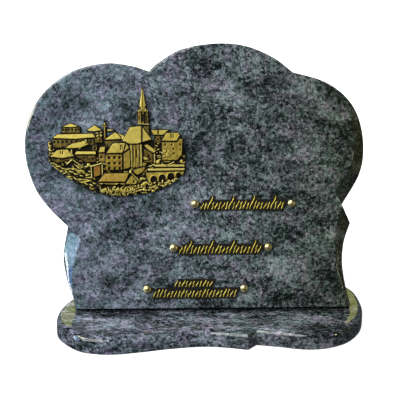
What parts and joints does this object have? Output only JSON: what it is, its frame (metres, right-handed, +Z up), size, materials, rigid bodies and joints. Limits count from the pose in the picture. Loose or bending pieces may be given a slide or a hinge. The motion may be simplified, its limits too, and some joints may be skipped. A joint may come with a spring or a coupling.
{
  "type": "grave plaque",
  "caption": "Lobed polished granite slab leaning back on a flat granite base, with a cast bronze village relief and bronze inscription bars held by domed brass screws.",
  "frame": {"origin": "middle of the base's flat underside", "axes": "+Z up, +X to the right for someone who faces the plaque, +Y to its back, where the slab leans"},
  "size_m": [0.4013, 0.178, 0.3252],
  "materials": {
    "granite_base": "polished blue-grey speckled granite",
    "granite_slab": "polished blue-grey speckled granite",
    "bronze_relief": "cast bronze, gold on what is raised, dark brown in the hollows",
    "bronze_bar": "cast bronze, dark ground with gold strokes",
    "brass_screw": "polished brass"
  },
  "bodies": {
    "root": {"base": "granite_base", "slab": "granite_slab", "village_relief": "bronze_relief", "inscription_bar_top": "bronze_bar", "inscription_bar_middle": "bronze_bar", "inscription_bar_bottom": "bronze_bar", "screw_top_left": "brass_screw", "screw_top_right": "brass_screw", "screw_middle_left": "brass_screw", "screw_middle_right": "brass_screw", "screw_bottom_left": "brass_screw", "screw_bottom_right": "brass_screw"}
  },
  "joints": []
}
